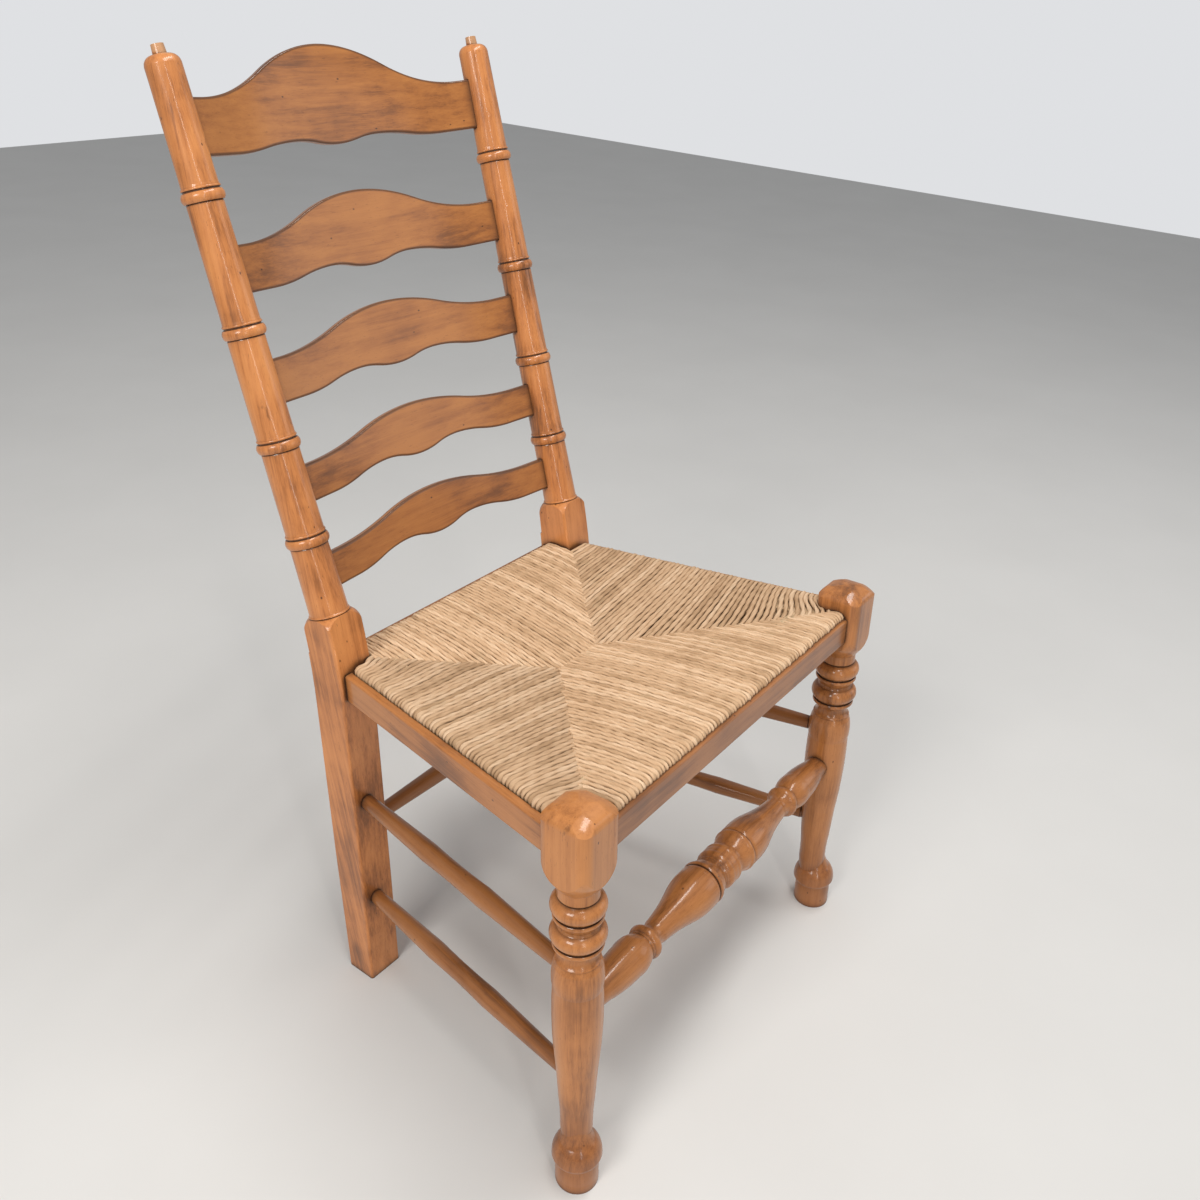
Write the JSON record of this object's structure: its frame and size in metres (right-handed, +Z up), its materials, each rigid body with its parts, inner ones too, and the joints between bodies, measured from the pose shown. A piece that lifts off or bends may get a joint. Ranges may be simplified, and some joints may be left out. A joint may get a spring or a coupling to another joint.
{
  "type": "ladderback chair",
  "caption": "Wooden ladderback dining chair with bowed shaped slats, turned front legs and stretchers and a woven rush drop-in seat.",
  "frame": {"origin": "middle of the chair on the floor, at the bottom centre of its bounding box", "axes": "+Z up, -Y towards the sitter's front, +Y towards the back posts, X across the seat with its mirror plane at X = 0"},
  "size_m": [0.5938, 0.6528, 1.0449],
  "materials": {
    "post_wood": "honey-brown gloss lacquer, worn at the edges",
    "leg_wood": "honey-brown gloss lacquer, redder and darker at the feet",
    "slat_wood": "honey-brown satin lacquer with fine level grain",
    "rail_wood": "brown satin lacquer",
    "stretcher_wood": "honey-brown gloss lacquer, dark in the grooves",
    "frame_wood": "bare sawn hardwood",
    "rush": "twisted natural rush, dry and matt",
    "rush_filling": "loose rush ends packed between the two layers",
    "steel": "plain steel, dulled"
  },
  "bodies": {
    "root": {"back_post_left": "post_wood", "back_post_right": "post_wood", "back_stretcher": "stretcher_wood", "corner_block_back_left": "frame_wood", "corner_block_back_right": "frame_wood", "corner_block_front_left": "frame_wood", "corner_block_front_right": "frame_wood", "corner_block_screws": "steel", "front_leg_left": "leg_wood", "front_leg_right": "leg_wood", "front_stretcher": "stretcher_wood", "ladder_slat_1": "slat_wood", "ladder_slat_2": "slat_wood", "ladder_slat_3": "slat_wood", "ladder_slat_4": "slat_wood", "ladder_slat_5": "slat_wood", "rush_stuffing_back": "rush_filling", "rush_stuffing_front": "rush_filling", "rush_stuffing_left": "rush_filling", "rush_stuffing_right": "rush_filling", "rush_weave": "rush", "seat_rail_back": "rail_wood", "seat_rail_front": "rail_wood", "seat_rail_left": "rail_wood", "seat_rail_right": "rail_wood", "side_stretcher_lower_left": "stretcher_wood", "side_stretcher_lower_right": "stretcher_wood", "side_stretcher_upper_left": "stretcher_wood", "side_stretcher_upper_right": "stretcher_wood", "slat_brads": "steel", "slip_frame_back": "frame_wood", "slip_frame_dowels": "frame_wood", "slip_frame_front": "frame_wood", "slip_frame_left": "frame_wood", "slip_frame_right": "frame_wood", "slip_seat_screws": "steel"}
  },
  "joints": []
}
